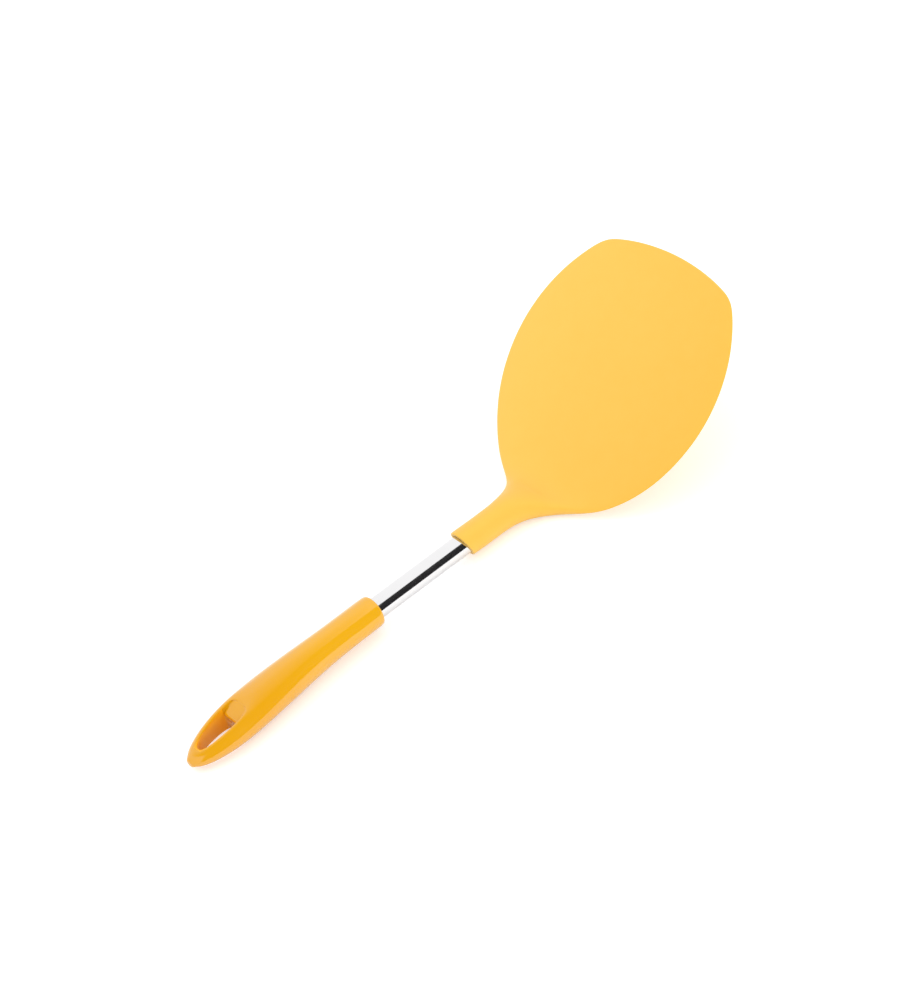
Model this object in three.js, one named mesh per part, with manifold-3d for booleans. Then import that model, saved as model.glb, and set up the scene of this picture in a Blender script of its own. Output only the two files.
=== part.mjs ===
// Flexible kitchen turner: a thin leaf-shaped blade moulded in one with its neck, a bare steel tube,
// and a glossy handle with a hanging eye. Millimetres, +Z up, +X towards the tip of the leaf.
// The turner lies as on a table, on the heel of its neck and the underside of its handle.
// The blade is one flexible moulding. It is stored as two solids, neck and leaf, that meet at the line
// where the leaf starts to flex.
import * as THREE from "three";
import { mergeVertices } from "three/addons/utils/BufferGeometryUtils.js";
import Module from "manifold-3d";

const wasm = await Module();
wasm.setup();

// Fits: the gap round a piece that sits in another, and the hairline at the flex line.
const CLEARANCE = 0.3;
const FLEX_GAP = 0.1;

// Steel tube. Its hidden ends have a rolled groove that the mouldings grip.
const TUBE_D = 10;
const TUBE_WALL = 0.8;
const TUBE_BARE_LENGTH = 51.7;
const TUBE_IN_NECK = 24;
const TUBE_IN_HANDLE = 32;
const TUBE_END_CHAMFER = 0.3;
const GROOVE_FROM_END = 11;
const GROOVE_DEPTH = 0.8;
const GROOVE_FLOOR = 2.4;
const GROOVE_SLOPE = 1.6;
const TUBE_SIDES = 40;

// Plugs that close the tube's ends.
const PLUG_HEAD = 1.5;
const PLUG_BODY = 6;

// Neck of the blade: a round sleeve, then a bend up into the leaf.
const NECK_WALL = 1.35;
const NECK_STRAIGHT = 38.8;
const BEND_RADIUS = 25;
const BEND_DEG = 38;
const SLEEVE_EDGE = 0.5;

// Leaf of the blade, laid out flat: distances run along the underside from the start of the bend.
const LEAF_WIDTH = 115.6;
const LEAF_REACH = 128.3;
const LEAF_WIDEST_AT = 70.8;
const LEAF_SIDE_RADIUS = 73.2;
const LEAF_TIP_RADIUS = 105;
const LEAF_CORNER_RADIUS = 10;
const ROOT_FILLET_RADIUS = 42;
const LEAF_THICKNESS = 1.6;
const LEAF_TIP_THICKNESS = 1.1;
const LEAF_THINS_FROM = 82;
const LEAF_EDGE_CHAMFER = 0.35;
const FLEX_AT = 23;
const LEAF_STEP = 5;

// The round neck flattens into the leaf between these places. Its underside is flat sooner than its top.
const FLATTEN_FROM = -14;
const FLATTEN_TO = 40;
const TOP_SQUARES_FROM = -4;
const TOP_SQUARES_TO = 36;
const HEEL_SQUARES_FROM = -16;
const HEEL_SQUARES_TO = 8;
const ROOT_STEP = 2.5;

// Handle: round at its nose, oval and drooping towards its end.
const HANDLE_LENGTH = 103.8;
const HANDLE_WIDTH = 20.8;
const HANDLE_WIDENS_FROM = 24;
const HANDLE_WIDEST_AT = 74;
const HANDLE_WIDTH_POWER = 2;
const HANDLE_HEIGHT = 16.9;
const HANDLE_RISES_FROM = 15;
const HANDLE_TALLEST_AT = 48;
const HANDLE_HEIGHT_POWER = 2.4;
const HANDLE_DROP = 8;
const HANDLE_DROP_POWER = 2.2;
const HANDLE_NOSE_WALL = 2.05;
const HANDLE_NOSE_ROUND = 1.9;
const HANDLE_SQUARENESS = 2.15;
const HANDLE_SIDES = 40;
const HANDLE_STEP = 4;

// Hanging eye: a drop-shaped hole with a ramp that leads into it.
const EYE_LENGTH = 18.6;
const EYE_WIDTH = 10;
const EYE_REAR_RADIUS = 3;
const EYE_END_WALL = 5.6;
const EYE_RAMP_WIDTH = 9.4;
const EYE_RAMP_DEPTH = 3.5;
const EYE_RAMP_DEG = 36;
const EYE_WALL_LEAN_DEG = 14;

// Worked-out sizes that several pieces share.
const TUBE_R = TUBE_D / 2;
const NECK_R = TUBE_R + CLEARANCE + NECK_WALL;
const NOSE_R = TUBE_R + CLEARANCE + HANDLE_NOSE_WALL;
const BEND = THREE.MathUtils.degToRad(BEND_DEG);
const SLEEVE_END = -NECK_STRAIGHT;
const HANDLE_FRONT = SLEEVE_END - TUBE_BARE_LENGTH;
const TUBE_FRONT_END = SLEEVE_END + TUBE_IN_NECK;
const TUBE_REAR_END = HANDLE_FRONT - TUBE_IN_HANDLE;
const { lerp, smoothstep } = THREE.MathUtils;

// A geometry as a manifold solid, for joining and cutting.
function toSolid(geometry) {
  const bare = new THREE.BufferGeometry();
  bare.setAttribute("position", geometry.getAttribute("position").clone());
  bare.setIndex(geometry.index);
  const merged = mergeVertices(bare, 1e-4);
  const vertProperties = new Float32Array(merged.getAttribute("position").array);
  const triVerts = new Uint32Array(merged.index.array);
  return new wasm.Manifold(new wasm.Mesh({ numProp: 3, vertProperties, triVerts }));
}

// A manifold solid back as a geometry.
function toGeometry(solid) {
  const { vertProperties, triVerts } = solid.getMesh();
  const geometry = new THREE.BufferGeometry();
  geometry.setAttribute("position", new THREE.BufferAttribute(vertProperties, 3));
  geometry.setIndex(new THREE.BufferAttribute(triVerts, 1));
  return geometry;
}

// A closed skin through rings of equal count, capped at both ends with a fan round the ring's middle.
function loft(rings) {
  const count = rings[0].length;
  const points = rings.flat();
  const index = [];
  for (let r = 0; r + 1 < rings.length; r++) {
    for (let k = 0; k < count; k++) {
      const a = r * count + k;
      const b = r * count + ((k + 1) % count);
      index.push(a, b, a + count, b, b + count, a + count);
    }
  }
  const cap = (ring, first, flipped) => {
    const middle = new THREE.Vector3();
    ring.forEach((p) => middle.addScaledVector(p, 1 / count));
    points.push(middle);
    for (let k = 0; k < count; k++) {
      const a = first + k;
      const b = first + ((k + 1) % count);
      index.push(points.length - 1, flipped ? a : b, flipped ? b : a);
    }
  };
  cap(rings[0], 0, false);
  cap(rings.at(-1), count * (rings.length - 1), true);
  const geometry = new THREE.BufferGeometry().setFromPoints(points);
  geometry.setIndex(index);
  return geometry;
}

// A solid of revolution round the tube's axis, from a closed profile of [place along X, radius].
function turned(profile) {
  const points = profile.map(([x, radius]) => new THREE.Vector2(radius, x));
  return new THREE.LatheGeometry(points, TUBE_SIDES).rotateZ(-Math.PI / 2);
}

// Evenly spaced places from one end to the other, both included.
function places(from, to, step) {
  const count = Math.max(1, Math.ceil(Math.abs(to - from) / step));
  return Array.from({ length: count + 1 }, (_, i) => lerp(from, to, i / count));
}

// Tube

// The outside of the tube, front to rear, grown by a gap: two ends, each with its rolled groove.
function tubeOutside(gap) {
  const groove = (end, inward) => {
    const middle = end + inward * GROOVE_FROM_END;
    const floor = GROOVE_FLOOR / 2;
    const brim = floor + GROOVE_SLOPE;
    const low = TUBE_R - GROOVE_DEPTH + gap;
    const high = TUBE_R + gap;
    return [
      [middle - inward * brim, high],
      [middle - inward * floor, low],
      [middle + inward * floor, low],
      [middle + inward * brim, high],
    ];
  };
  return [...groove(TUBE_FRONT_END, -1), ...groove(TUBE_REAR_END, 1).reverse()];
}

function shaftTube() {
  const face = TUBE_R - TUBE_END_CHAMFER;
  const bore = TUBE_R - TUBE_WALL;
  const outside = [
    [TUBE_FRONT_END, face],
    [TUBE_FRONT_END - TUBE_END_CHAMFER, TUBE_R],
    ...tubeOutside(0),
    [TUBE_REAR_END + TUBE_END_CHAMFER, TUBE_R],
    [TUBE_REAR_END, face],
  ];
  const inside = [[TUBE_REAR_END, bore], ...tubeOutside(-TUBE_WALL).reverse(), [TUBE_FRONT_END, bore]];
  const profile = [...outside, ...inside, outside[0]];
  return turned(profile.reverse());
}

// A plug with its body in the tube and its head past the tube's end. inward is the way into the tube.
function tubePlug(end, inward) {
  const seat = end - inward * CLEARANCE;
  const body = TUBE_R - TUBE_WALL - CLEARANCE;
  const tip = seat + inward * (PLUG_BODY + CLEARANCE);
  const profile = [
    [seat - inward * PLUG_HEAD, 0],
    [seat - inward * PLUG_HEAD, TUBE_R],
    [seat, TUBE_R],
    [seat, body],
    [tip, body],
    [tip, 0],
  ];
  return turned(inward > 0 ? profile : profile.reverse());
}

// The room that the tube and its plug need in a moulding: mouth is where the tube comes out.
function socket(end, inward, mouth) {
  const floor = end - inward * (PLUG_HEAD + 2 * CLEARANCE);
  const radius = TUBE_R + CLEARANCE;
  const grown = tubeOutside(CLEARANCE);
  const rib = inward > 0 ? grown.slice(4).reverse() : grown.slice(0, 4);
  const outside = mouth + inward * PLUG_HEAD;
  const profile = [[floor, 0], [floor, radius], ...rib, [outside, radius], [outside, 0]];
  return toSolid(turned(inward > 0 ? profile : profile.reverse()));
}

// Blade

// Where two circles meet, on the side with the larger y.
function circlesMeet(a, ra, b, rb) {
  const apart = b.clone().sub(a);
  const d = apart.length();
  const along = (ra * ra - rb * rb + d * d) / (2 * d);
  const across = Math.sqrt(ra * ra - along * along);
  const unit = apart.divideScalar(d);
  const side = new THREE.Vector2(-unit.y, unit.x);
  const points = [1, -1].map((sign) => {
    return a.clone().addScaledVector(unit, along).addScaledVector(side, sign * across);
  });
  return points[0].y > points[1].y ? points[0] : points[1];
}

// The leaf's plan: centres of the arcs that make one half of its outline.
const sideCentre = new THREE.Vector2(LEAF_WIDEST_AT, LEAF_WIDTH / 2 - LEAF_SIDE_RADIUS);
const tipCentre = new THREE.Vector2(LEAF_REACH - LEAF_TIP_RADIUS, 0);
const cornerCentre = circlesMeet(
  sideCentre,
  LEAF_SIDE_RADIUS - LEAF_CORNER_RADIUS,
  tipCentre,
  LEAF_TIP_RADIUS - LEAF_CORNER_RADIUS,
);
const filletY = NECK_R + ROOT_FILLET_RADIUS;
const filletReach = LEAF_SIDE_RADIUS + ROOT_FILLET_RADIUS;
const filletBack = Math.sqrt(filletReach ** 2 - (filletY - sideCentre.y) ** 2);
const filletCentre = new THREE.Vector2(sideCentre.x - filletBack, filletY);
const cornerFromSide = cornerCentre.clone().sub(sideCentre).normalize();
const cornerFromTip = cornerCentre.clone().sub(tipCentre).normalize();
const filletFromSide = filletCentre.clone().sub(sideCentre).normalize();

// Half the leaf's width at a place, on the outline or on a line set in from it.
function halfWidth(s, inset) {
  const onCircle = (centre, radius, sign) => {
    const height = Math.sqrt(Math.max(0, radius ** 2 - (s - centre.x) ** 2));
    return centre.y + sign * height;
  };
  const corner = LEAF_CORNER_RADIUS - inset;
  if (s <= filletCentre.x) return NECK_R - inset;
  if (s <= filletCentre.x - filletFromSide.x * (ROOT_FILLET_RADIUS + inset)) {
    return onCircle(filletCentre, ROOT_FILLET_RADIUS + inset, -1);
  }
  if (s <= cornerCentre.x + cornerFromSide.x * corner) {
    return onCircle(sideCentre, LEAF_SIDE_RADIUS - inset, 1);
  }
  if (s <= cornerCentre.x + cornerFromTip.x * corner) return onCircle(cornerCentre, corner, 1);
  return onCircle(tipCentre, LEAF_TIP_RADIUS - inset, 1);
}

// How thick the blade is at its middle: the neck fades into the leaf, and the leaf thins to its tip.
function thickness(s) {
  const leaf = lerp(LEAF_THICKNESS, LEAF_TIP_THICKNESS, smoothstep(s, LEAF_THINS_FROM, LEAF_REACH));
  const neck = 1 - smoothstep(s, FLATTEN_FROM, FLATTEN_TO);
  return lerp(leaf, 2 * NECK_R, neck ** 2);
}

// A point of the flat layout, put on the bent blade: s along the underside, n up from it.
function bent(s, y, n) {
  const turn = Math.min(Math.max(s / BEND_RADIUS, 0), BEND);
  const straight = s - turn * BEND_RADIUS;
  const toCentre = BEND_RADIUS - n;
  const x = toCentre * Math.sin(turn) + straight * Math.cos(turn);
  const z = BEND_RADIUS - NECK_R - toCentre * Math.cos(turn) + straight * Math.sin(turn);
  return new THREE.Vector3(x, y, z);
}

// One section of the blade. It goes from a round neck, by its squareness, to a slab with chamfered edges.
// flatHalf is half the width of the slab's flat faces, and sunk is how far they lie below the full thickness.
const FLAT_STEPS = 12;
const FLAT_SHARES = Array.from({ length: FLAT_STEPS + 1 }, (_, k) => (2 * k) / FLAT_STEPS - 1);
const RING_POINTS = 2 * (FLAT_SHARES.length + 3);

function bladeRing(s, flatHalf = halfWidth(s, LEAF_EDGE_CHAMFER), sunk = 0) {
  const half = halfWidth(s, 0);
  const thick = thickness(s);
  const top = smoothstep(s, TOP_SQUARES_FROM, TOP_SQUARES_TO);
  const heel = smoothstep(s, HEEL_SQUARES_FROM, HEEL_SQUARES_TO);
  const edge = [LEAF_EDGE_CHAMFER, thick / 2, thick - LEAF_EDGE_CHAMFER];
  const slab = [
    ...FLAT_SHARES.map((share) => [share * flatHalf, sunk, heel]),
    ...edge.map((n) => [half, n, top]),
    ...FLAT_SHARES.map((share) => [-share * flatHalf, thick - sunk, top]),
    ...edge.map((n) => [-half, thick - n, top]),
  ];
  const step = (2 * Math.PI) / RING_POINTS;
  const first = -Math.PI / 2 - (FLAT_STEPS / 2) * step;
  return slab.map(([y, n, square], k) => {
    const roundY = half * Math.cos(first + k * step);
    const roundN = (thick / 2) * (1 + Math.sin(first + k * step));
    return bent(s, lerp(roundY, y, square), lerp(roundN, n, square));
  });
}

// Sleeve with its socket, the bend and the root of the leaf, up to the flex line.
function bladeNeck() {
  const shrink = 1 - SLEEVE_EDGE / NECK_R;
  const mouth = bladeRing(SLEEVE_END).map((p) => p.multiply(new THREE.Vector3(1, shrink, shrink)));
  const flareStart = Math.min(FLATTEN_FROM, filletCentre.x);
  const stations = [SLEEVE_END + SLEEVE_EDGE, ...places(flareStart, FLEX_AT - FLEX_GAP / 2, ROOT_STEP)];
  const skin = loft([mouth, ...stations.map((s) => bladeRing(s))]);
  return toGeometry(toSolid(skin).subtract(socket(TUBE_FRONT_END, -1, SLEEVE_END)));
}

// The thin leaf, from the flex line to its tip.
function bladeLeaf() {
  const cornerStart = cornerCentre.x + cornerFromSide.x * LEAF_CORNER_RADIUS;
  const cornerEnd = cornerCentre.x + cornerFromTip.x * LEAF_CORNER_RADIUS;
  const lastHalf = LEAF_STEP / 2;
  const tipDrop = LEAF_TIP_RADIUS - Math.sqrt(LEAF_TIP_RADIUS ** 2 - lastHalf ** 2);
  const tip = LEAF_REACH - tipDrop;
  const cornerHalf = halfWidth(cornerEnd, 0);
  const onTip = places(cornerHalf, 2 * LEAF_STEP, LEAF_STEP).map((half) => {
    return tipCentre.x + Math.sqrt(LEAF_TIP_RADIUS ** 2 - half ** 2);
  });
  const stations = [
    ...places(FLEX_AT + FLEX_GAP / 2, cornerStart, LEAF_STEP),
    ...places(cornerStart, cornerEnd, LEAF_CORNER_RADIUS / 8).slice(1),
    ...onTip.slice(1).filter((s) => s < tip - LEAF_EDGE_CHAMFER),
    tip - LEAF_EDGE_CHAMFER,
  ];
  const rings = stations.map((s) => bladeRing(s));
  rings.push(bladeRing(tip, lastHalf, LEAF_EDGE_CHAMFER));
  return loft(rings);
}

// Handle

// Height of the handle's middle line at a distance from its front.
function handleDrop(d) {
  return -HANDLE_DROP * (d / HANDLE_LENGTH) ** HANDLE_DROP_POWER;
}

// Half the width or height of the handle at a distance from its front. It grows from the nose's radius
// between two places, and then runs down to nothing at the end.
function handleHalf(d, most, growsFrom, mostAt, power) {
  const swell = lerp(NOSE_R, most, smoothstep(d, growsFrom, mostAt));
  const toEnd = Math.max(0, (d - mostAt) / (HANDLE_LENGTH - mostAt));
  const inNose = Math.max(0, HANDLE_NOSE_ROUND - d);
  const nose = HANDLE_NOSE_ROUND - Math.sqrt(HANDLE_NOSE_ROUND ** 2 - inNose ** 2);
  return swell * Math.sqrt(1 - toEnd ** power) - nose;
}

function handleHalfWidth(d) {
  return handleHalf(d, HANDLE_WIDTH / 2, HANDLE_WIDENS_FROM, HANDLE_WIDEST_AT, HANDLE_WIDTH_POWER);
}

function handleHalfHeight(d) {
  return handleHalf(d, HANDLE_HEIGHT / 2, HANDLE_RISES_FROM, HANDLE_TALLEST_AT, HANDLE_HEIGHT_POWER);
}

// One section of the handle: an oval that is a little squarer than an ellipse past the nose.
function handleRing(d) {
  const half = handleHalfWidth(d);
  const high = handleHalfHeight(d);
  const squareness = lerp(2, HANDLE_SQUARENESS, smoothstep(d, 0, HANDLE_WIDEST_AT));
  const part = (value) => Math.sign(value) * Math.abs(value) ** (2 / squareness);
  return Array.from({ length: HANDLE_SIDES }, (_, k) => {
    const angle = (-2 * Math.PI * k) / HANDLE_SIDES;
    const y = half * part(Math.cos(angle));
    const z = handleDrop(d) + high * part(Math.sin(angle));
    return new THREE.Vector3(HANDLE_FRONT - d, y, z);
  });
}

// A drop-shaped prism right through the handle, wide at the front and narrow at the rear.
function eyeCutter() {
  const front = EYE_WIDTH / 2;
  const rearX = HANDLE_FRONT - HANDLE_LENGTH + EYE_END_WALL + EYE_REAR_RADIUS;
  const frontX = rearX + EYE_LENGTH - front - EYE_REAR_RADIUS;
  const lean = Math.asin((front - EYE_REAR_RADIUS) / (frontX - rearX));
  const outline = new THREE.Shape();
  outline.absarc(frontX, 0, front, -Math.PI / 2 - lean, Math.PI / 2 + lean);
  outline.absarc(rearX, 0, EYE_REAR_RADIUS, Math.PI / 2 + lean, (3 * Math.PI) / 2 - lean);
  const depth = 2 * (HANDLE_HEIGHT + HANDLE_DROP);
  const prism = new THREE.ExtrudeGeometry(outline, { depth, bevelEnabled: false, curveSegments: 12 });
  return toSolid(prism.translate(0, 0, -depth / 2));
}

// The front of the eye: a flat ramp from the handle's top down to a foot, and a wall that leans forward below.
function rampCutter() {
  const footX = HANDLE_FRONT - HANDLE_LENGTH + EYE_END_WALL + EYE_LENGTH;
  const footD = HANDLE_FRONT - footX;
  const top = handleDrop(footD) + handleHalfHeight(footD);
  const footZ = top - EYE_RAMP_DEPTH;
  const rise = HANDLE_HEIGHT;
  const run = rise / Math.tan(THREE.MathUtils.degToRad(EYE_RAMP_DEG));
  const fall = HANDLE_HEIGHT;
  const under = fall * Math.tan(THREE.MathUtils.degToRad(EYE_WALL_LEAN_DEG));
  const profile = new THREE.Shape([
    new THREE.Vector2(footX, footZ),
    new THREE.Vector2(footX + run, footZ + rise),
    new THREE.Vector2(footX - EYE_WIDTH / 2, footZ + rise),
    new THREE.Vector2(footX - EYE_WIDTH / 2, footZ - fall),
    new THREE.Vector2(footX + under, footZ - fall),
  ]);
  const prism = new THREE.ExtrudeGeometry(profile, { depth: EYE_RAMP_WIDTH, bevelEnabled: false });
  return toSolid(prism.rotateX(Math.PI / 2).translate(0, EYE_RAMP_WIDTH / 2, 0));
}

function handle() {
  const noseSteps = [0, 0.1, 0.35, 0.7].map((share) => share * HANDLE_NOSE_ROUND);
  const endSteps = [0.6, 0.75, 0.86, 0.93, 0.97, 0.99, 0.998];
  const tail = HANDLE_LENGTH - HANDLE_WIDEST_AT;
  const distances = [
    ...noseSteps,
    HANDLE_NOSE_ROUND,
    ...places(HANDLE_RISES_FROM, HANDLE_WIDEST_AT, HANDLE_STEP),
    ...places(HANDLE_WIDEST_AT, HANDLE_WIDEST_AT + endSteps[0] * tail, HANDLE_STEP).slice(1, -1),
    ...endSteps.map((share) => HANDLE_WIDEST_AT + share * tail),
  ];
  const body = toSolid(loft(distances.map(handleRing)));
  const cut = body.subtract(eyeCutter()).subtract(rampCutter());
  return toGeometry(cut.subtract(socket(TUBE_REAR_END, 1, HANDLE_FRONT)));
}

// Assembly

const finishes = {
  blade: { color: 0xffca55, roughness: 0.55, metalness: 0 },
  handle: { color: 0xf7b42e, roughness: 0.18, metalness: 0 },
  steel: { color: 0xd9d9dc, roughness: 0.12, metalness: 1 },
  plug: { color: 0xe9e4d8, roughness: 0.6, metalness: 0 },
};

function piece(name, geometry, finish) {
  const flat = geometry.index ? geometry.toNonIndexed() : geometry;
  flat.computeVertexNormals();
  const mesh = new THREE.Mesh(flat, new THREE.MeshStandardMaterial(finish));
  mesh.name = name;
  return mesh;
}

const handleMesh = piece("handle", handle(), finishes.handle);
const neckMesh = piece("blade_neck", bladeNeck(), finishes.blade);
const tool = new THREE.Group();
tool.add(
  handleMesh,
  neckMesh,
  piece("blade_leaf", bladeLeaf(), finishes.blade),
  piece("shaft_tube", shaftTube(), finishes.steel),
  piece("tube_front_plug", tubePlug(TUBE_FRONT_END, -1), finishes.plug),
  piece("tube_rear_plug", tubePlug(TUBE_REAR_END, 1), finishes.plug),
);

// The lowest point of a mesh once the tool is tilted, nose up, by an angle.
function lowest(mesh, tilt) {
  const { array } = mesh.geometry.getAttribute("position");
  let low = Infinity;
  for (let i = 0; i < array.length; i += 3) {
    low = Math.min(low, array[i] * Math.sin(tilt) + array[i + 2] * Math.cos(tilt));
  }
  return low;
}

// The tilt at which the heel of the neck and the handle touch the table together.
function restTilt() {
  let [low, high] = [-BEND, BEND];
  for (let i = 0; i < 50; i++) {
    const middle = (low + high) / 2;
    if (lowest(neckMesh, middle) > lowest(handleMesh, middle)) high = middle;
    else low = middle;
  }
  return (low + high) / 2;
}

tool.rotation.y = -restTilt();
tool.updateMatrixWorld(true);
const box = new THREE.Box3().setFromObject(tool, true);
const centre = box.getCenter(new THREE.Vector3());
tool.position.set(-centre.x, -centre.y, -box.min.z);

const turner = new THREE.Group();
turner.add(tool);

export default turner;
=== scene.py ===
# %% [markdown]
# # A flexible kitchen turner
# The turner is a thin matte blade on a steel tube, with a glossy handle that hangs on a drop-shaped eye.
# The CAD model comes in first. It is the frame that stays where it is, and every piece below is fitted to it.

# %% Load the frame
import math
from collections import namedtuple

import bmesh
import bpy
from mathutils import Matrix, Vector


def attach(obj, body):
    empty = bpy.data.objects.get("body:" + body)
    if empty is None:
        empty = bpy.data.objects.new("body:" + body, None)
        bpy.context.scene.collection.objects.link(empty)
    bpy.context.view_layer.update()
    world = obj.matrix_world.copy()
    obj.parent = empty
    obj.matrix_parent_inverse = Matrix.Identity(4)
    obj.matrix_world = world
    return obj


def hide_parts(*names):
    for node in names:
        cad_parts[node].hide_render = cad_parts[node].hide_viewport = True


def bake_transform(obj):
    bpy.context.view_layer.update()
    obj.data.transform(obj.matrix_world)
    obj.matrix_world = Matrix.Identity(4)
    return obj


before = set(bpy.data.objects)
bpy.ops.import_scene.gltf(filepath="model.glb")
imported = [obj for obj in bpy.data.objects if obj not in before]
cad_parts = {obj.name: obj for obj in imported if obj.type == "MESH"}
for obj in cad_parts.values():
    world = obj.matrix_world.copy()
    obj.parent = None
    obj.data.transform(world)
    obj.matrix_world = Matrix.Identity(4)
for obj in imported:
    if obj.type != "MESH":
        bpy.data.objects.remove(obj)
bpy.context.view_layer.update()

# %% [markdown]
# ## The tool's own axes
# On the table the turner rests on its heel and on its drooping end, so the tube leans a little.
# The pieces are easier to shape with the tube level along X, and are tipped onto the table when they are
# done. Sizes are written in millimetres, as a maker would, and turned into metres where they are used.

# %% Units and the lean on the table
MM = 0.001
NEAR = 0.01 * MM
REST_TILT = math.radians(1.7135)
TUBE_ON_TABLE = Vector((44.619, 0, 6.650)) * MM
TOOL_TO_TABLE = Matrix.Translation(TUBE_ON_TABLE) @ Matrix.Rotation(REST_TILT, 4, "Y")
print("The tube leans by", round(math.degrees(REST_TILT), 2), "degrees")

# %% [markdown]
# ## Rings
# Blade, handle and tube are all long bodies whose section changes on the way, so each starts as one circle.
# The circle is extruded ring by ring, and every new ring is moved and scaled to the section at its place.
# A subdivision surface then rounds the cage. It also pulls a twelve-sided ring in, so the cage is made
# larger.

# %% Helpers for rings
SIDES = 12
CAGE = 3 / (2 + math.cos(2 * math.pi / SIDES))
Ring = namedtuple("Ring", "at half low high")


def round_ring(at, radius, centre=0.0, cage=CAGE):
    """A circular ring round the line at the height of centre, in millimetres."""
    reach = radius * cage
    return Ring(at, reach, centre - reach, centre + reach)


def start_ring(name, ring, sides=SIDES):
    """Adds a circle at its size and place, and leaves it selected in edit mode."""
    bpy.ops.object.select_all(action="DESELECT")
    place = (ring.at * MM, 0, (ring.low + ring.high) / 2 * MM)
    bpy.ops.mesh.primitive_circle_add(
        vertices=sides, radius=ring.half * MM, location=place, rotation=(0, math.pi / 2, 0)
    )
    piece = bpy.context.object
    piece.name = name
    bpy.ops.object.transform_apply(location=True, rotation=True, scale=True)
    bpy.ops.object.mode_set(mode="EDIT")
    bpy.ops.mesh.select_mode(type="VERT")
    bpy.ops.mesh.select_all(action="SELECT")
    return piece


def pull_ring(old, new):
    """Extrudes the selected ring to the next place and gives it the new width and height."""
    middle = (new.low + new.high) / 2
    rise = middle - (old.low + old.high) / 2
    step = ((new.at - old.at) * MM, 0, rise * MM)
    bpy.ops.mesh.extrude_region_move(TRANSFORM_OT_translate={"value": step})
    taller = (new.high - new.low) / (old.high - old.low)
    bpy.ops.transform.resize(
        value=(1, new.half / old.half, taller), center_override=(new.at * MM, 0, middle * MM)
    )


def pull_rings(rings):
    """Pulls the selected first ring through all the others."""
    for old, new in zip(rings, rings[1:]):
        pull_ring(old, new)


def pick(test):
    """Selects the vertices of the piece in edit mode whose place, in metres, passes the test."""
    bpy.ops.mesh.select_all(action="DESELECT")
    mesh = bmesh.from_edit_mesh(bpy.context.object.data)
    for vert in mesh.verts:
        if test(vert.co):
            vert.select_set(True)
    mesh.select_flush_mode()
    bmesh.update_edit_mesh(bpy.context.object.data)
    return sum(vert.select for vert in mesh.verts)


def shift(x=0.0, y=0.0, z=0.0):
    bpy.ops.transform.translate(value=(x * MM, y * MM, z * MM))


def stretch(across, up, about):
    bpy.ops.transform.resize(value=(1, across, up), center_override=[v * MM for v in about])


def smoothstep(value, low, high):
    t = min(max((value - low) / (high - low), 0), 1)
    return t * t * (3 - 2 * t)


def between(a, b, share):
    return a + (b - a) * share


def lay_on_table(piece, levels):
    """Rounds the cage, tips the piece onto the table and leaves it unturned at the origin."""
    bpy.ops.mesh.select_all(action="SELECT")
    bpy.ops.mesh.normals_make_consistent(inside=False)
    bpy.ops.object.mode_set(mode="OBJECT")
    if levels:
        bpy.ops.object.modifier_add(type="SUBSURF")
        skin = piece.modifiers[-1]
        skin.levels = levels
        skin.render_levels = levels
        bpy.ops.object.modifier_apply(modifier=skin.name)
    piece.matrix_world = TOOL_TO_TABLE
    bpy.ops.object.transform_apply(location=True, rotation=True, scale=True)
    print(piece.name, "has", len(piece.data.polygons), "faces")


# %% [markdown]
# ## The blade's sizes
# The blade is one moulding: a sleeve over the tube, a neck that bends up, and a wide leaf that thins to its
# tip. Its outline is made of circle arcs that run into each other, as on a drawing board.
# Places along the blade are measured along its underside from the start of the bend, as if it lay flat.

# %% Outline and thickness of the blade
NECK_R = 6.65
SOCKET_R = 5.05
SOCKET_FLOOR = -12.7
SLEEVE_END = -39.6
MOUTH_SLANT = math.radians(20)
BEND_R = 25.0
BEND_ANGLE = math.radians(38)
BEND_END = BEND_R * BEND_ANGLE
LEAF_HALF = 57.8
LEAF_WIDEST = 70.8
SIDE_R = 73.2
SHOULDER_R = 75.0
FILLET_R = 32.0
FILLET_AT = -20.47
SIDE_FROM = 6.83
TIP_R = 105.0
TIP_AT = 128.3
LEAF_THICK = 1.6
TIP_THICK = 1.1
THINS_FROM = 82
NECK_THINS = (-14, 40)
HEEL_FLATTENS = (-16, 8)
TOP_FLATTENS = (-4, 36)


def half_width(s):
    """Half the blade's width at the place s: neck, concave root fillet, shoulder and round side."""
    if s <= FILLET_AT:
        return NECK_R
    if s <= SIDE_FROM:
        return NECK_R + FILLET_R - math.sqrt(FILLET_R**2 - (s - FILLET_AT) ** 2)
    arc = SHOULDER_R if s < LEAF_WIDEST else SIDE_R
    return LEAF_HALF - arc + math.sqrt(arc**2 - (s - LEAF_WIDEST) ** 2)


def thickness(s):
    leaf = between(LEAF_THICK, TIP_THICK, smoothstep(s, THINS_FROM, TIP_AT))
    return between(leaf, 2 * NECK_R, (1 - smoothstep(s, *NECK_THINS)) ** 2)


def heel_flat(s):
    return smoothstep(s, *HEEL_FLATTENS)


def top_flat(s):
    return smoothstep(s, *TOP_FLATTENS)


def blade_ring(s):
    """The flat cage's ring at the place s, which grows with the cage only where it is still round."""
    thick = thickness(s)
    swell = (CAGE - 1) * thick / 2
    low = -swell * (1 - heel_flat(s))
    high = thick + swell * (1 - top_flat(s))
    return Ring(s, half_width(s) * CAGE, low, high)


print("The leaf is", 2 * half_width(LEAF_WIDEST), "mm wide and the neck", 2 * NECK_R, "mm")

# %% [markdown]
# ## The blade, laid flat
# The first ring is the floor of the socket. The rings run out to the sleeve's mouth, round its lip, and
# then along the outside to the tip. At this stage every section is still an ellipse. The mouth is cut a
# little aslant on the real sleeve, longer on top, so its rings are tipped together and made taller to fit
# the tube again.

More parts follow.
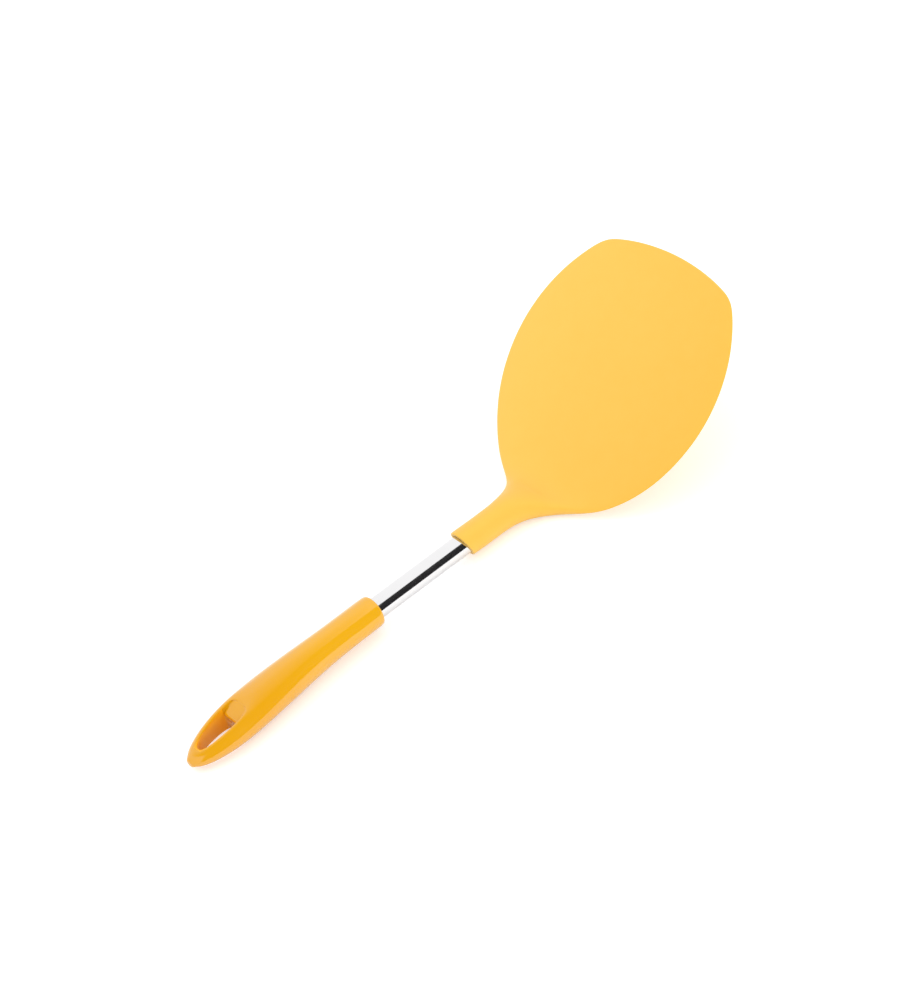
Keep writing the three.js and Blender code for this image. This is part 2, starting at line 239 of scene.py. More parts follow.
# %% Pull the blade's rings
LIP_DEPTH = 1.0
SOCKET_EDGE = 0.4
LIP_STEPS = (
    (0.06, SOCKET_R + 0.03), (0, SOCKET_R + 0.2), (0, NECK_R - 0.4), (0.25, NECK_R - 0.05), (0.9, NECK_R)
)
socket = [round_ring(at, SOCKET_R, NECK_R) for at in (SOCKET_FLOOR, SLEEVE_END + SOCKET_EDGE)]
lip = [round_ring(SLEEVE_END + inwards, radius, NECK_R) for inwards, radius in LIP_STEPS]
NECK_PLACES = (-33, -27, -22, -17, -12.5, -8.5, -4.5, 0, 4, 8, 12, BEND_END)
LEAF_PLACES = (23, 30, 38, 48, 60, 72, 84, 95, 104, 110.5, 115.5, 118.4, 120)
CORNER_TRIM = {118.4: 0.985, 120: 0.955}
outside = [blade_ring(s) for s in NECK_PLACES + LEAF_PLACES]
outside = [ring._replace(half=ring.half * CORNER_TRIM.get(ring.at, 1)) for ring in outside]
blade_rings = socket + lip + outside
blade = start_ring("turner_blade", blade_rings[0])
pull_rings(blade_rings)
mouth = (SLEEVE_END, 0, NECK_R)
pick(lambda co: co.x < (SLEEVE_END + LIP_DEPTH) * MM)
bpy.ops.transform.rotate(value=MOUTH_SLANT, orient_axis="Y", center_override=[v * MM for v in mouth])
stretch(1, 1 / math.cos(MOUTH_SLANT), mouth)
print("The blade's cage has", len(blade_rings), "rings")

# %% [markdown]
# ## Ends and flat sides
# The socket's floor and the leaf's front edge are closed with faces, so that the blade is solid.
# The neck is round and the leaf is a flat sheet. Scaling the lower row of a ring towards its underside,
# and the upper row towards its top, turns the ellipse bit by bit into a slab. The heel flattens sooner than
# the top.

# %% Close the ends and square the sections
EDGE_INSIDE = 0.95
EDGE_CORNER = 0.8


def at_place(co, place):
    """Whether a vertex of the level cage lies at a place along the tool."""
    return abs(co.x - place * MM) < NEAR


pick(lambda co: at_place(co, SOCKET_FLOOR))
bpy.ops.mesh.edge_face_add()
tip_ring = blade_rings[-1]
tip_half = tip_ring.half * MM
pick(lambda co: at_place(co, tip_ring.at) and abs(co.y) < EDGE_INSIDE * tip_half)
bpy.ops.mesh.bridge_edge_loops()
for side in (-1, 1):
    pick(lambda co: at_place(co, tip_ring.at) and side * co.y > EDGE_CORNER * tip_half)
    bpy.ops.mesh.edge_face_add()

for ring in outside:
    middle = (ring.low + ring.high) / 2
    pick(lambda co: at_place(co, ring.at) and co.z < middle * MM - NEAR)
    stretch(1, 1 - heel_flat(ring.at), (ring.at, 0, ring.low))
    pick(lambda co: at_place(co, ring.at) and co.z > middle * MM + NEAR)
    stretch(1, 1 - top_flat(ring.at), (ring.at, 0, ring.high))
print("The leaf's section is", round(tip_ring.high - tip_ring.low, 2), "mm thick at the tip")

# %% [markdown]
# ## The curved front edge
# The rings are straight across, but the leaf ends in a shallow arc. The middle of the last rings is moved
# forward onto that arc. The rings behind take a share of the move, so that the lines of the cage stay even.

# %% Move the tip onto its arc
TIP_ALLOWANCE = 0.35
TIP_SHARES = {110.5: 0.12, 115.5: 0.55, 118.4: 1.0, 120: 1.0}
ROW_SPREADS = [math.sin(2 * math.pi * k / SIDES) for k in range(SIDES // 4)]


def tip_arc(y):
    """How far forward the front edge lies at the offset y. The allowance makes up for the rounding."""
    return TIP_AT - TIP_R + math.sqrt(TIP_R**2 - y**2) + TIP_ALLOWANCE


for ring in outside[-len(TIP_SHARES):]:
    for spread in ROW_SPREADS:
        y = spread * ring.half
        pick(lambda co: at_place(co, ring.at) and abs(abs(co.y) - y * MM) < NEAR)
        shift(x=TIP_SHARES[ring.at] * (tip_arc(y) - tip_ring.at))
print("The tip reaches", round(tip_arc(0), 2), "mm from the bend")

# %% [markdown]
# ## Bending the neck
# A real blade is moulded with its neck bent up by 38 degrees, so that the leaf lies flat in a pan while the
# hand stays above the rim. The flat cage is rolled round the bend's axis: first all that lies beyond the
# bend, then each ring inside it by its own share of the angle.

# %% Roll the flat cage round the bend
BEND_AXIS = (0, 0, BEND_R * MM)


def turn_up(angle):
    """Lifts the selected part round the bend's axis. With no window the operator turns the other way."""
    bpy.ops.transform.rotate(value=angle, orient_axis="Y", center_override=BEND_AXIS)


pick(lambda co: co.x > BEND_END * MM - NEAR)
shift(x=-BEND_END)
turn_up(BEND_ANGLE)
for s in [ring.at for ring in outside if 0 < ring.at < BEND_END]:
    pick(lambda co: at_place(co, s))
    shift(x=-s)
    turn_up(s / BEND_R)
bpy.ops.mesh.select_all(action="SELECT")
shift(z=-NECK_R)
lay_on_table(blade, levels=3)
bpy.ops.object.shade_smooth()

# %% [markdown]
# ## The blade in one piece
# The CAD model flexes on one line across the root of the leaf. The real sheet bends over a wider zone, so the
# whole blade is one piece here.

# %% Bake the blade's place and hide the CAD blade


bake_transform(blade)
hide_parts("blade_neck", "blade_leaf")

# %% [markdown]
# ## The handle's sizes
# The handle is a second moulding over the tube's other end. It is round at its nose, swells to an oval that
# fills the palm, droops towards its end and closes there like a pebble.

# %% Sections of the handle
HANDLE_FRONT = -90.5
HANDLE_LENGTH = 103.8
HANDLE_WIDTH = 20.8
WIDENS_FROM = 24
WIDEST_AT = 74
WIDTH_POWER = 2
HANDLE_HEIGHT = 16.9
RISES_FROM = 15
TALLEST_AT = 48
HEIGHT_POWER = 2.4
END_BLUNT = 0.985
HANDLE_DROP = 8.0
DROP_POWER = 2.2
NOSE_R = 7.35
HANDLE_SOCKET = 34.1


def swelling(d, most, grows_from, most_at, power):
    """Half a width or height, which grows from the nose's radius and runs down again to the end."""
    grown = between(NOSE_R, most, smoothstep(d, grows_from, most_at))
    to_end = min(max((d - most_at) / (HANDLE_LENGTH - most_at), 0), END_BLUNT)
    return grown * math.sqrt(1 - to_end**power)


def handle_ring(d):
    """The cage ring at the distance d behind the handle's front."""
    centre = -HANDLE_DROP * (d / HANDLE_LENGTH) ** DROP_POWER
    half = swelling(d, HANDLE_WIDTH / 2, WIDENS_FROM, WIDEST_AT, WIDTH_POWER) * CAGE
    tall = swelling(d, HANDLE_HEIGHT / 2, RISES_FROM, TALLEST_AT, HEIGHT_POWER) * CAGE
    return Ring(HANDLE_FRONT - d, half, centre - tall, centre + tall)


print("The handle is", HANDLE_LENGTH, "mm long and", HANDLE_WIDTH, "mm wide")

# %% [markdown]
# ## The handle's body
# It is pulled ring by ring like the blade, from the floor of its socket, round the nose and back to the end.
# The rings are turned by half a step, so that a row of faces lies on the middle of the top for the eye.

# %% Pull the handle's rings
NOSE_EDGE = 0.9
NOSE_STEPS = (
    (0.1, SOCKET_R + 0.1), (0, SOCKET_R + 0.35), (0, NOSE_R - 1.1), (0.55, NOSE_R - 0.2), (2.2, NOSE_R)
)
handle_socket = [round_ring(HANDLE_FRONT - d, SOCKET_R) for d in (HANDLE_SOCKET, NOSE_EDGE)]
nose = [round_ring(HANDLE_FRONT - d, radius) for d, radius in NOSE_STEPS]
GRIP_PLACES = (10, 20, 30, 40, 50, 60, 67)
EYE_PLACES = (73, 78.5, 83.5, 88.5, 93.5, 98)
END_PLACES = (100.8, 102.8, 103.75)
skin_rings = [handle_ring(d) for d in GRIP_PLACES + EYE_PLACES + END_PLACES]
handle_rings = handle_socket + nose + skin_rings
grip = start_ring("grip", handle_rings[0])
socket_floor = (handle_rings[0].at * MM, 0, 0)
bpy.ops.transform.rotate(value=math.pi / SIDES, orient_axis="X", center_override=socket_floor)
pull_rings(handle_rings)
bpy.ops.mesh.edge_face_add()
pick(lambda co: (co - Vector(socket_floor)).length < SOCKET_R * CAGE * MM + NEAR)
bpy.ops.mesh.edge_face_add()
print("The handle's cage has", len(handle_rings), "rings")

# %% [markdown]
# ## The hanging eye
# The eye is a drop-shaped hole through the flattened end, with a ramp on its front side that leads a hook in.
# The cage's middle vertices, on top and below, are first moved to the drop's outline. Below, the hole starts
# further back, which leaves room for the ramp.

# %% Set out the eye's rim
TOP_RIM = ((72.2, 5.7), (78.5, 6.2), (83.5, 6.2), (88.5, 5.6), (93.5, 4.7), (98.9, 2.6))
LOW_RIM = ((75.6, 4.6), (79.0, 6.0), (83.6, 6.2), (88.6, 5.6), (93.4, 4.7), (98.9, 2.6))


def on_handle(d, y, side):
    """Height of the cage's surface at the distance d and the offset y, on top (1) or below (-1)."""
    ring = handle_ring(d)
    tall = (ring.high - ring.low) / 2
    return (ring.low + ring.high) / 2 + side * tall * math.sqrt(1 - (y / ring.half) ** 2)


for side, rim in ((1, TOP_RIM), (-1, LOW_RIM)):
    for d, (place, half) in zip(EYE_PLACES, rim):
        ring = handle_ring(d)
        centre = (ring.low + ring.high) / 2
        pick(
            lambda co: at_place(co, ring.at)
            and abs(co.y) < ring.half * MM / 2
            and side * (co.z - centre * MM) > 0
        )
        now = ring.half * math.sin(math.pi / SIDES)
        stretch(half / now, 1, (ring.at, 0, centre))
        shift(x=d - place, z=on_handle(place, half, side) - on_handle(d, now, side))
print("The eye is set out between", EYE_PLACES[0], "and", EYE_PLACES[-1], "mm from the handle's front")

# %% [markdown]
# ## Cutting the eye
# The faces inside the rim are inset once and deleted, and the two open loops are bridged, so that the hole
# gets a wall. A crease on the loops keeps the rim crisp, as on the real handle, where it only has a narrow
# round edge.

# %% Inset, open and bridge the eye
EYE_INSIDE = (74, 98)
RIM_WIDTH = 1.0
RIM_SINK = 0.35
RIM_CREASE = 0.42

bpy.ops.mesh.select_all(action="DESELECT")
bpy.ops.mesh.select_mode(type="FACE")
cage = bmesh.from_edit_mesh(grip.data)
for face in cage.faces:
    centre = face.calc_center_median()
    behind = HANDLE_FRONT - centre.x / MM
    if abs(centre.y) < NEAR and len(face.verts) == 4 and EYE_INSIDE[0] < behind < EYE_INSIDE[1]:
        face.select_set(True)
bmesh.update_edit_mesh(grip.data)
bpy.ops.mesh.inset(thickness=RIM_WIDTH * MM, depth=-RIM_SINK * MM)
bpy.ops.mesh.delete(type="FACE")
bpy.ops.mesh.select_mode(type="EDGE")
bpy.ops.mesh.select_non_manifold(extend=False)
bpy.ops.transform.edge_crease(value=RIM_CREASE)
bpy.ops.mesh.bridge_edge_loops(number_cuts=1, interpolation="LINEAR")
bpy.ops.mesh.select_mode(type="VERT")
grip.update_from_editmode()
print("The handle's cage, with the eye in it, has", len(grip.data.polygons), "faces")

# %% [markdown]
# ## The ramp
# Bridging left one loop halfway down the wall. Its two front vertices are the foot of the ramp, so they are
# moved up and back, and the pair behind them follows. From the foot down, the wall leans forward to the lower
# rim. Creased edges keep the ramp a flat facet.

# %% Shape the ramp
RAMP_TOP = (73.1, 2.85)
RAMP_FOOT = (79.8, -0.65)
FOOT_WIDER = 1.1
WALL_FRONT = (82.0, -3.0)
HALFWAY_FOOT = (74.82, -3.95)
HALFWAY_WALL = (78.82, -4.37)
NEARBY = 1.0
EYE_REACH = 5.5
EDGE_CREASE = 0.6
CORNER_CREASE = 0.8


def in_eye(place, side=0):
    """A test for the eye's vertices near a place: the distance behind the handle's front, and the height."""

    def test(co):
        apart = math.hypot(HANDLE_FRONT - co.x / MM - place[0], co.z / MM - place[1])
        return apart < NEARBY and abs(co.y) < EYE_REACH * MM and side * co.y >= 0

    return test


def move_pair(start, end):
    """Moves a pair of the halfway loop's vertices from one place to another."""
    moved = pick(in_eye(start))
    shift(x=start[0] - end[0], z=end[1] - start[1])
    return moved


moved = move_pair(HALFWAY_WALL, WALL_FRONT) + move_pair(HALFWAY_FOOT, RAMP_FOOT)
stretch(FOOT_WIDER, 1, (HANDLE_FRONT - RAMP_FOOT[0], 0, RAMP_FOOT[1]))
bpy.ops.transform.edge_crease(value=EDGE_CREASE)
pick(in_eye(RAMP_TOP))
bpy.ops.transform.edge_crease(value=EDGE_CREASE - RIM_CREASE)
for side in (-1, 1):
    top, foot = in_eye(RAMP_TOP, side), in_eye(RAMP_FOOT, side)
    pick(lambda co: top(co) or foot(co))
    bpy.ops.transform.edge_crease(value=EDGE_CREASE)
top, foot = in_eye(RAMP_TOP), in_eye(RAMP_FOOT)
corners = pick(lambda co: top(co) or foot(co))
bpy.ops.transform.vert_crease(value=CORNER_CREASE)
print("The ramp has", corners, "corners, and", moved, "vertices were moved for it")
lay_on_table(grip, levels=3)
bpy.ops.object.shade_smooth()
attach(grip, "shaft")
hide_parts("handle")

# %% [markdown]
# ## The steel tube
# A thin-walled drawn tube joins blade and handle. Near each hidden end a groove is rolled in for the
# mouldings to grip. Polished metal shows every facet, so this ring has many sides and no subdivision. The
# smoothing stops at the grooves' edges, which would bend the reflections along the whole tube otherwise.

# %% Pull the tube
TUBE_R = 5.0
TUBE_WALL = 0.8
TUBE_FRONT = -14.8
TUBE_REAR = -122.5
TUBE_SIDES = 96
GROOVE_AT = 11.0
GROOVE_DEPTH = 0.8
GROOVE_FLOOR = 2.4
GROOVE_SLOPE = 1.6
CHAMFER = 0.3
SMOOTH_UNDER = math.radians(20)


def tube_ring(at, radius):
    return round_ring(at, radius, cage=1)


def groove(centre):
    """Rings across a rolled groove, in the backward direction that the tube is pulled in."""
    half = GROOVE_FLOOR / 2
    floor = TUBE_R - GROOVE_DEPTH
    brink = half + GROOVE_SLOPE
    steps = ((brink, TUBE_R), (half, floor), (-half, floor), (-brink, TUBE_R))
    return [tube_ring(centre + along, radius) for along, radius in steps]


grooves = groove(TUBE_FRONT - GROOVE_AT) + groove(TUBE_REAR + GROOVE_AT)
outer = [tube_ring(TUBE_FRONT - CHAMFER, TUBE_R)] + grooves + [tube_ring(TUBE_REAR + CHAMFER, TUBE_R)]
bore = [tube_ring(ring.at, ring.half - TUBE_WALL) for ring in reversed(grooves)]
tube_rings = (
    [tube_ring(TUBE_FRONT, TUBE_R - CHAMFER)]
    + outer
    + [tube_ring(TUBE_REAR, TUBE_R - CHAMFER), tube_ring(TUBE_REAR, TUBE_R - TUBE_WALL)]
    + bore
    + [tube_ring(TUBE_FRONT, TUBE_R - TUBE_WALL)]
)
tube = start_ring("steel_tube", tube_rings[0], TUBE_SIDES)
pull_rings(tube_rings)
pick(lambda co: at_place(co, TUBE_FRONT))
bpy.ops.mesh.bridge_edge_loops()
lay_on_table(tube, levels=0)
bpy.ops.object.shade_smooth_by_angle(angle=SMOOTH_UNDER)
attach(tube, "shaft")
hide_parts("shaft_tube")

# %% [markdown]
# ## A socket that can be reckoned with
# A material is a net of small nodes. Wiring them one by one hides the idea behind the bookkeeping, so one
# small class wraps a socket. Wires can be used in sums like numbers, and any other node is made by name.

# %% Wires for materials


class Wire:
    """One socket of a node tree, which can be used in sums like a number."""

    def __init__(self, tree, socket=None):
        self.tree = tree
        self.socket = socket

    def node(self, kind, settings=None, inputs=None, out=0):
        """Makes a node, sets it up, feeds its sockets with numbers or wires, and returns one output."""
        made = self.tree.nodes.new(kind)
        for name, value in (settings or {}).items():
            setattr(made, name, value)
        for name, value in (inputs or {}).items():
            if isinstance(value, Wire):
                self.tree.links.new(value.socket, made.inputs[name])
            else:
                made.inputs[name].default_value = value
        return Wire(self.tree, made.outputs[out]) if len(made.outputs) else made

    def sum(self, operation, first, second):
        return self.node("ShaderNodeMath", {"operation": operation}, {0: first, 1: second})

    def __add__(self, other):
        return self.sum("ADD", self, other)

    def __radd__(self, other):
        return self.sum("ADD", other, self)

    def __sub__(self, other):
        return self.sum("SUBTRACT", self, other)

    def __rsub__(self, other):
        return self.sum("SUBTRACT", other, self)

    def __mul__(self, other):
        return self.sum("MULTIPLY", self, other)

    def __rmul__(self, other):
        return self.sum("MULTIPLY", other, self)

    def __truediv__(self, other):
        return self.sum("DIVIDE", self, other)

    def __rtruediv__(self, other):
        return self.sum("DIVIDE", other, self)


def blank_material(name):
    """A material with an empty tree, and a wire to build in it."""
    made = bpy.data.materials.new(name)
    made.use_nodes = True
    made.node_tree.nodes.clear()
    return made, Wire(made.node_tree)


def place_of(wire):
    """The place on the piece, in metres."""
    return wire.node("ShaderNodeTexCoord", out="Object")


def axis_of(wire, place, axis):
    """One axis of the place, X along the tool or Y across it."""
    return wire.node("ShaderNodeSeparateXYZ", inputs={"Vector": place}, out=axis)


def noise(wire, place, scale, detail):
    """Soft random patches between 0 and 1, finer with a larger scale."""
    return wire.node("ShaderNodeTexNoise", inputs={"Vector": place, "Scale": scale, "Detail": detail})


def clamped(wire, value):
    return wire.node("ShaderNodeClamp", inputs={"Value": value})


def stretched(wire, place, factors):
    """The place with each axis scaled on its own, for grain that runs one way."""
    return wire.node("ShaderNodeVectorMath", {"operation": "MULTIPLY"}, {0: place, 1: factors})


def blend_colours(wire, share, first, second):
    """A mix of two colours, each three numbers or a wire."""
    first, second = (colour if isinstance(colour, Wire) else (*colour, 1) for colour in (first, second))
    settings = {"data_type": "RGBA", "clamp_factor": True}
    return wire.node("ShaderNodeMix", settings, {0: share, 6: first, 7: second}, out=2)


def bump(wire, height, strength, depth):
    """A normal that is bent as if the surface rose and sank with the height, by a depth in millimetres."""
    inputs = {"Height": height, "Strength": strength, "Distance": depth * MM}
    return wire.node("ShaderNodeBump", inputs=inputs)


def shade(wire, **inputs):
    """Ends the tree with the principled shader."""
    named = {key.replace("_", " ").title().replace("Ior", "IOR"): value for key, value in inputs.items()}
    shader = wire.node("ShaderNodeBsdfPrincipled", inputs=named)
    wire.node("ShaderNodeOutputMaterial", inputs={"Surface": shader})


print("Wires are ready for the materials")

# %% [markdown]
# ## Matte blade plastic
# The blade is a pale yellow plastic from a finely eroded mould: it has a soft sheen but no gloss. Its colour
# drifts from place to place. It also darkens a little from the left side of the leaf to the right, which is
# painted shade for light that falls off away from the upper left. A broad noise tints it, a fine one roughens
# it, and small pits catch the light.

# %% The blade's material
BLADE_PALE = (0.940, 0.566, 0.076)
# The deeper colour serves both the random drift of the tone and the painted shade across the leaf.
BLADE_DEEP_AND_SHADED = (0.925, 0.516, 0.050)
# Over this width, in millimetres, painted shade darkens the leaf from its left side to its right.
BLADE_PAINTED_SHADE_OVER = 100
BLADE_DRIFT = 0.35
BLADE_CLOUDS = 0.3
BLADE_SHEEN = 0.2

blade_yellow, wire = blank_material("blade_yellow")
place = place_of(wire)
drift = noise(wire, place, scale=22, detail=3)
clouding = noise(wire, place, scale=160, detail=4)
pits = noise(wire, place, scale=2600, detail=2)
across = axis_of(wire, place, "Y")
centred = (1 - BLADE_DRIFT - BLADE_CLOUDS) / 2
tinted = drift * BLADE_DRIFT + clouding * BLADE_CLOUDS + centred
# Painted shade: the colour darkens across the leaf towards its right side, where less light falls.
depth = tinted - across / (BLADE_PAINTED_SHADE_OVER * MM)
shade(
    wire,
    base_color=blend_colours(wire, depth, BLADE_PALE, BLADE_DEEP_AND_SHADED),
    roughness=0.38 + 0.16 * clouding,
    sheen_weight=BLADE_SHEEN,
    sheen_roughness=0.5,
    normal=bump(wire, pits, strength=0.25, depth=0.03),
)
blade.data.materials.append(blade_yellow)
print("Blade finished in", blade_yellow.name)

# %% [markdown]
# ## Glossy grip plastic
# The handle is a deeper golden yellow, deeper still towards its end, and was moulded against polished steel.
# Real gloss is never perfect, so a slow swell in the surface bends the reflections a little, and faint
# handling marks dull them in patches. The wall of the eye looks duller, and the shade inside the hole is
# painted: a mask that follows the drop's outline paints a deeper orange there and takes the gloss away.

# %% The handle's material
GRIP_GOLD = (0.860, 0.429, 0.003)
GRIP_AMBER = (0.826, 0.381, 0.002)
GRIP_DEEPENS_FROM = 35
GRIP_DEEPENS_TO = 65
GRIP_DEEPENING = 0.8
GRIP_DRIFT = 0.4
# Painted shade: the deeper orange that the eye's wall shows inside the hole.
EYE_SHADE_ORANGE = (0.985, 0.445, 0.001)
EYE_FRONT_HALF = 5.45
EYE_TAPER = 0.0095
EYE_REAR = 98.6
MASK_SIDES = 4
MASK_ENDS = 2

grip_gold, wire = blank_material("grip_gold")
place = place_of(wire)
drift = noise(wire, place, scale=30, detail=3)
marks = noise(wire, stretched(wire, place, (60, 260, 260)), scale=1, detail=5)
swell = noise(wire, place, scale=260, detail=1)
along, across = axis_of(wire, place, "X"), axis_of(wire, place, "Y")
behind_foot = (HANDLE_FRONT + TUBE_ON_TABLE.x / MM - RAMP_FOOT[0]) - along / MM
sideways = wire.sum("MAXIMUM", across / MM, across / -MM)
in_width = (EYE_FRONT_HALF - EYE_TAPER * behind_foot * behind_foot - sideways) * MASK_SIDES
to_rear = (EYE_REAR - RAMP_FOOT[0] - behind_foot) * MASK_ENDS
in_length = wire.sum("MINIMUM", behind_foot * MASK_ENDS + 1, to_rear)
eye_wall = clamped(wire, wire.sum("MINIMUM", in_width, in_length))
behind_start = behind_foot + (RAMP_FOOT[0] - GRIP_DEEPENS_FROM)
deepening = clamped(wire, behind_start / (GRIP_DEEPENS_TO - GRIP_DEEPENS_FROM))
centred = (1 - GRIP_DEEPENING - GRIP_DRIFT) / 2
amber = deepening * GRIP_DEEPENING + drift * GRIP_DRIFT + centred
skin = blend_colours(wire, amber, GRIP_GOLD, GRIP_AMBER)
shade(
    wire,
    # The mask paints the eye's wall a deeper orange, for the shade inside the hole.
    base_color=blend_colours(wire, eye_wall, skin, EYE_SHADE_ORANGE),
    roughness=0.09 + 0.12 * marks + 0.3 * eye_wall,
    coat_weight=(0.75 + 0.2 * drift) * (1 - eye_wall),
    coat_roughness=0.08,
    coat_ior=1.55,
    normal=bump(wire, swell, strength=0.12, depth=0.08),
)
grip.data.materials.append(grip_gold)
print("Handle finished in", grip_gold.name)

# %% [markdown]
# ## Polished tube and hidden plugs
# The tube was drawn through a die and then polished, which leaves very fine lines along it and a trace of
# wiping. The two plugs that close its ends can't be seen, but get a plain moulded finish all the same.

# %% Steel and plug materials
STEEL_LIGHT = (0.93, 0.925, 0.93)
STEEL_DULL = (0.88, 0.875, 0.88)
PLUG_WHITE = (0.80, 0.78, 0.72)
PLUG_GREY = (0.70, 0.68, 0.62)

drawn_steel, wire = blank_material("drawn_steel")
place = place_of(wire)
lines = noise(wire, stretched(wire, place, (40, 5200, 5200)), scale=1, detail=3)
wiping = noise(wire, place, scale=120, detail=4)
shade(
    wire,
    base_color=blend_colours(wire, wiping, STEEL_LIGHT, STEEL_DULL),
    metallic=1.0,
    roughness=0.05 + 0.05 * lines + 0.05 * wiping,
    normal=bump(wire, lines, strength=0.05, depth=0.01),
)
tube.data.materials.append(drawn_steel)

plug_white, wire = blank_material("plug_white")
speckle = noise(wire, place_of(wire), scale=900, detail=3)
shade(
    wire,
    base_color=blend_colours(wire, speckle, PLUG_WHITE, PLUG_GREY),
    roughness=0.5 + 0.2 * speckle,
    normal=bump(wire, speckle, strength=0.2, depth=0.05),
)
for node in ("tube_front_plug", "tube_rear_plug"):
    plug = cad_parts[node]
    plug.data.materials.clear()
    plug.data.materials.append(plug_white)
print("Tube finished in", drawn_steel.name, "and plugs in", plug_white.name)

# %% [markdown]
# ## Floor and background
# The photo is a cut-out on white. The floor is a pale sheet that still takes the turner's soft shadow. To
# the camera it also glows a little, which lifts the open floor to white and leaves only the shadow visible.

# %% Floor and white surroundings
FLOOR_SIZE = 12.0
FLOOR_GLOW = 0.36
MIRRORED_GLOW = 0.35
FLOOR_PALE = (0.90, 0.90, 0.90, 1)
DULL = 0.9
SKY_LIGHT = 0.96


def seen_directly(wire, mirrored=1.0):
    """1 for what the camera sees, also mirrored or through glass, and 0 for light on its way to a surface."""
    rays = ("Is Camera Ray", "Is Glossy Ray", "Is Transmission Ray")
    camera_ray, glossy_ray, transmission_ray = (wire.node("ShaderNodeLightPath", out=ray) for ray in rays)
    return camera_ray + glossy_ray * mirrored + transmission_ray


bpy.ops.object.select_all(action="DESELECT")
bpy.ops.mesh.primitive_plane_add(size=FLOOR_SIZE, location=(0, 0, -NEAR))
floor = bpy.context.object
floor.name = "floor"
floor_sheet, wire = blank_material("floor_sheet")
glow = blend_colours(wire, seen_directly(wire, MIRRORED_GLOW), (0, 0, 0), (FLOOR_GLOW,) * 3)
shade(wire, base_color=FLOOR_PALE, roughness=DULL, emission_color=glow, emission_strength=1.0)
floor.data.materials.append(floor_sheet)

world = bpy.data.worlds.new("white_surroundings")
bpy.context.scene.world = world
world.use_nodes = True
world.node_tree.nodes.clear()
wire = Wire(world.node_tree)
shown = seen_directly(wire)
strength = shown + (1 - shown) * SKY_LIGHT
sky = wire.node("ShaderNodeBackground", inputs={"Color": (1, 1, 1, 1), "Strength": strength})
wire.node("ShaderNodeOutputWorld", inputs={"Surface": sky})
print("White surroundings light the turner at", SKY_LIGHT)

# %% [markdown]
# ## Studio light
# The photo's light is very even. Most of it comes from the white surroundings. One large softbox above on the
# left and a smaller one low on the right only model the forms a little.

# %% Lamps
KEY_PLACE = Vector((-0.5, 0.9, 1.5))
KEY_SIZE = 1.4
KEY_POWER = 5.5
FILL_PLACE = Vector((0.25, -1.25, 0.25))
FILL_SIZE = 0.9
FILL_POWER = 5.4


def soft_lamp(name, place, size, power):
    """A square softbox that faces the turner. It lights, but isn't seen in the polished parts."""
    bpy.ops.object.light_add(type="AREA", location=place)
    lamp = bpy.context.object
    lamp.name = name
    lamp.data.size = size
    lamp.data.energy = power
    lamp.rotation_euler = (-place).to_track_quat("-Z", "Y").to_euler()
    lamp.visible_glossy = False


soft_lamp("soft_key", KEY_PLACE, KEY_SIZE, KEY_POWER)
soft_lamp("soft_fill", FILL_PLACE, FILL_SIZE, FILL_POWER)
print("Two softboxes of", KEY_POWER, "and", FILL_POWER, "W")

# %% [markdown]
# ## A dark card and a flag
# Polished metal only reads as metal when it has something dark to reflect. A dark card lies on the floor on
# the right and stands up at its back edge. It gives the tube its one dark stripe and the handle its dark
# band. Over the handle hangs a small flag of thin dark cloth. It lets more light through towards its far
# edge, so that the band fades out softly on that side. Only reflections show the card and the flag.

# %% Card and flag
CARD_LEFT = -1.4
CARD_RIGHT = 2.2
CARD_BACK = -1.05
CARD_FRONT = -0.085
CARD_TALL = 1.62
FLAG_LEFT = -0.32
FLAG_RIGHT = 0.043
FLAG_NEAR = -0.18
FLAG_FAR = 0.30
FLAG_HEIGHT = 0.21
FLAG_CLEARS_AT = 0.095
FLAG_SLANT = 0.6
FLAG_FADE = 3.6
FLAG_SOFT_SIDE = 0.03
CLOTH_BLACK = (0.010, 0.009, 0.010, 1)


def level_sheet(name, left, right, near, far, height):
    """A level sheet between four edges, in metres, that only reflections show."""
    bpy.ops.object.select_all(action="DESELECT")
    middle = ((left + right) / 2, (near + far) / 2, height)
    bpy.ops.mesh.primitive_plane_add(size=1, location=middle)
    sheet = bpy.context.object
    sheet.name = name
    sheet.scale = (right - left, far - near, 1)
    bpy.ops.object.transform_apply(location=True, rotation=True, scale=True)
    sheet.visible_camera = False
    sheet.visible_diffuse = False
    sheet.visible_shadow = False
    return sheet


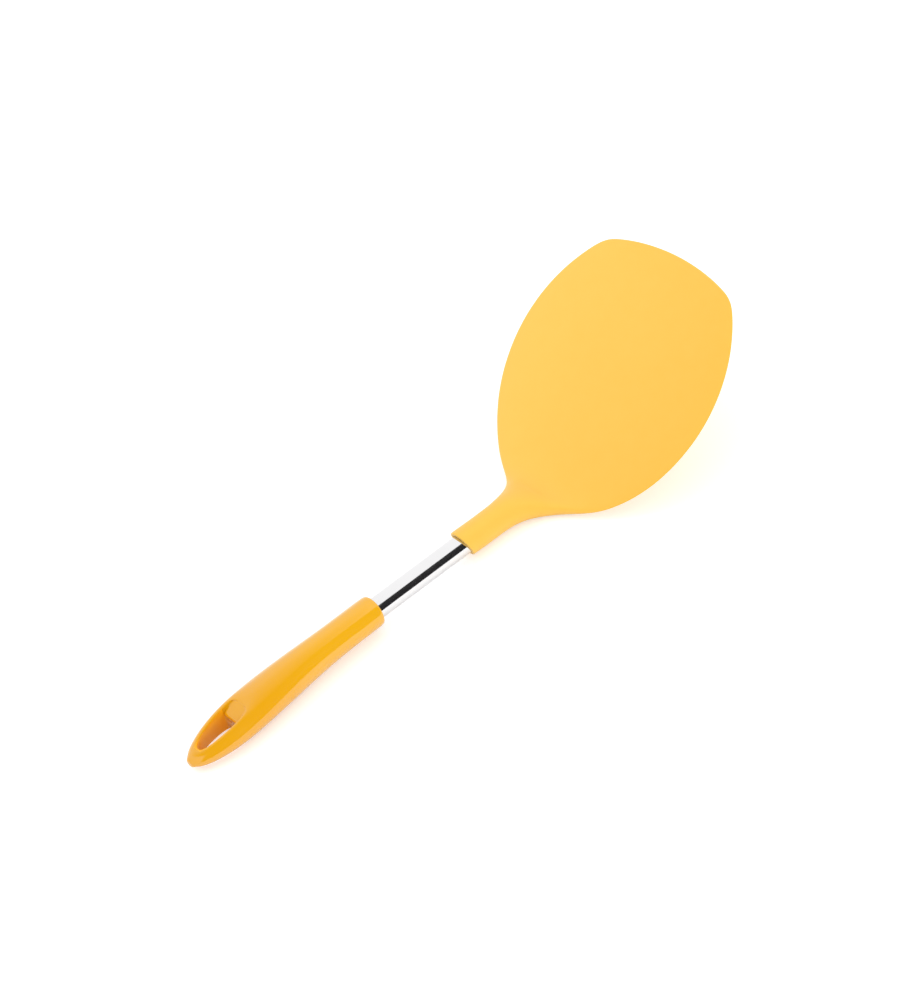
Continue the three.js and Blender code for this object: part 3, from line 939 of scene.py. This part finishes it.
card = level_sheet("dark_card", CARD_LEFT, CARD_RIGHT, CARD_BACK, CARD_FRONT, MM)
bpy.ops.object.mode_set(mode="EDIT")
pick(lambda co: co.y < CARD_BACK + NEAR)
bpy.ops.mesh.extrude_region_move(TRANSFORM_OT_translate={"value": (0, 0, CARD_TALL)})
bpy.ops.object.mode_set(mode="OBJECT")
card_black, wire = blank_material("card_black")
shade(wire, base_color=CLOTH_BLACK, roughness=DULL)
card.data.materials.append(card_black)

flag = level_sheet("soft_flag", FLAG_LEFT, FLAG_RIGHT, FLAG_NEAR, FLAG_FAR, FLAG_HEIGHT)
flag_cloth, wire = blank_material("flag_cloth")
place = place_of(wire)
along, across = axis_of(wire, place, "X"), axis_of(wire, place, "Y")
inwards = clamped(wire, (FLAG_RIGHT - along) / FLAG_SOFT_SIDE)
clears_at = FLAG_CLEARS_AT + FLAG_SLANT * (FLAG_RIGHT - along)
cover = clamped(wire, (clears_at - across) * FLAG_FADE)
shade(wire, base_color=CLOTH_BLACK, roughness=DULL, alpha=cover * inwards)
flag.data.materials.append(flag_cloth)
print("The card is", CARD_TALL, "m high, and the flag hangs", FLAG_HEIGHT, "m above the table")

# %% [markdown]
# ## Camera
# The camera stands where the photo was taken from: above the handle's end, looking along the tool and down.
# Its place, aim and lens were worked out from the outlines in the photo.

# %% Camera at the photo's angle
CAMERA_PLACE = Vector((-0.43997, -0.68970, 0.77120))
CAMERA_RIGHT = Vector((0.72550, -0.66350, -0.18345))
CAMERA_AIM = Vector((0.40316, 0.62550, -0.66795))
LENS = 93.6
SENSOR = 36.0

bpy.ops.object.camera_add()
camera = bpy.context.object
camera.name = "photo_camera"
upward = CAMERA_RIGHT.cross(CAMERA_AIM)
axes = Matrix((CAMERA_RIGHT, upward, -CAMERA_AIM)).transposed()
camera.matrix_world = Matrix.Translation(CAMERA_PLACE) @ axes.to_4x4()
camera.data.lens = LENS
camera.data.sensor_width = SENSOR
camera.data.dof.use_dof = False
bpy.context.scene.camera = camera
bpy.context.scene.view_settings.view_transform = "Standard"
print("The camera is", round(CAMERA_PLACE.length, 3), "m from the turner")
